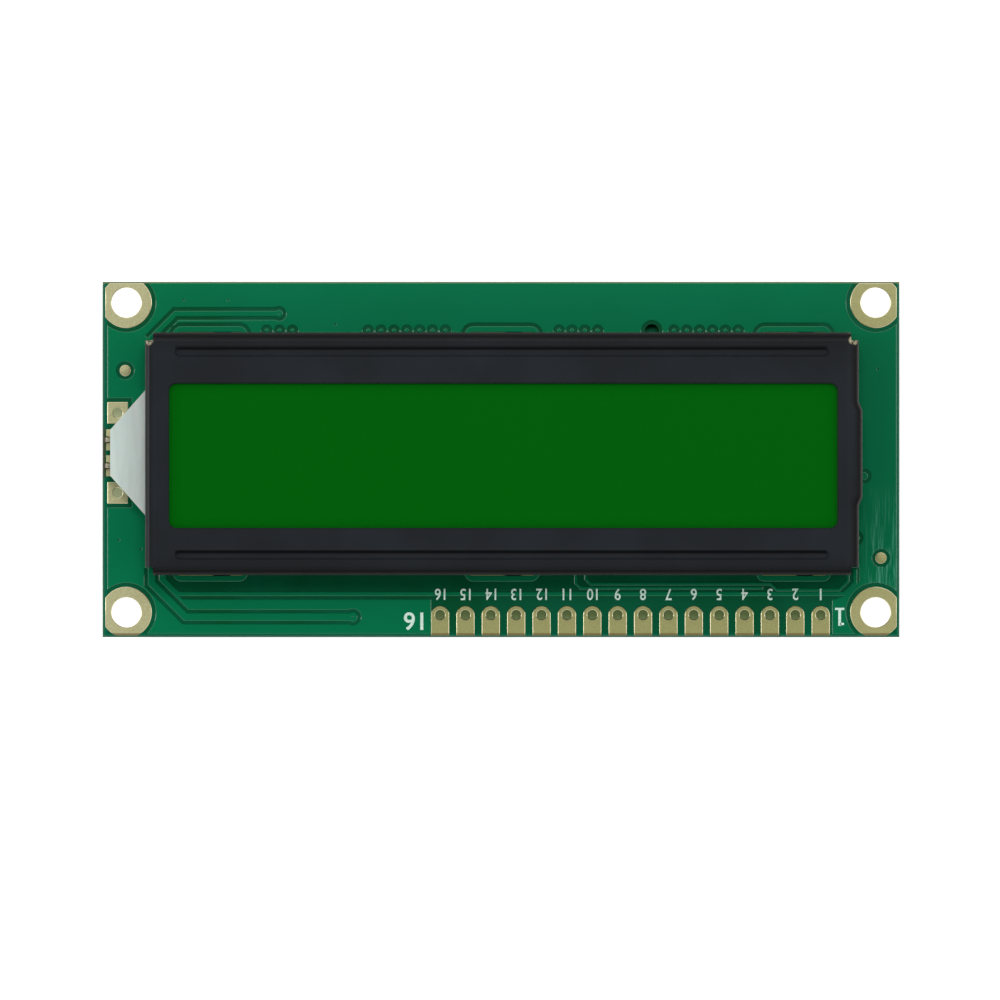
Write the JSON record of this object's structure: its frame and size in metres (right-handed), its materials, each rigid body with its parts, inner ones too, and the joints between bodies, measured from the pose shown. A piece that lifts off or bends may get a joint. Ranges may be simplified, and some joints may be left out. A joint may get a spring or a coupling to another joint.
{
  "type": "character lcd module",
  "caption": "Character display module: glass cell and edge-lit light guide under a folded black bezel on a green circuit board with a header row and corner mounting holes.",
  "frame": {"origin": "centre of the rectangle of four mounting holes, on the circuit board's bare back face", "axes": "+X along the board towards pin 1's end, +Y across the board away from the header row, +Z out of the display's face"},
  "size_m": [0.0798, 0.0356, 0.0104],
  "materials": {
    "board_mask": "solder mask over bare laminate, glossy dark green",
    "masked_copper": "solder mask over copper, glossy green",
    "gold": "immersion gold over copper",
    "contact_gold": "immersion gold over copper, hidden under the strips",
    "bezel_black": "satin black coating on folded sheet steel",
    "polariser": "dark green polarising film, lit from behind",
    "glass": "clear float glass",
    "seal": "screen printed epoxy seal",
    "port_glue": "cured glue",
    "strip": "layered silicone rubber",
    "guide": "translucent white acrylic",
    "film": "white film",
    "lamp": "clear resin over a small lamp",
    "tin": "tinned metal",
    "solder": "solder, semi-bright",
    "epoxy": "black epoxy drop, satin",
    "silicon": "bare silicon",
    "resistor": "glazed resistor body",
    "capacitor": "fired ceramic, tan"
  },
  "bodies": {
    "root": {"circuit_board": "board_mask", "front_copper": "masked_copper", "back_copper": "masked_copper", "mounting_pads": "gold", "header_pads": "gold", "spare_back_light_pads": "gold", "lamp_pads": "gold", "alignment_marks": "gold", "component_lands": "gold", "upper_contacts": "contact_gold", "lower_contacts": "contact_gold", "bezel": "bezel_black", "front_polariser": "polariser", "rear_polariser": "polariser", "front_glass": "glass", "rear_glass": "glass", "cell_seal": "seal", "fill_port_plug": "port_glue", "upper_connector_strip": "strip", "lower_connector_strip": "strip", "light_guide": "guide", "diffuser_film": "film", "reflector_film": "film", "back_light_lamp": "lamp", "lamp_leads": "tin", "lamp_solder": "solder", "controller_drop": "epoxy", "driver_drop": "epoxy", "controller_die": "silicon", "driver_die": "silicon", "resistor_bodies": "resistor", "resistor_caps": "tin", "capacitor_bodies": "capacitor", "capacitor_caps": "tin", "component_solder": "solder"}
  },
  "joints": []
}
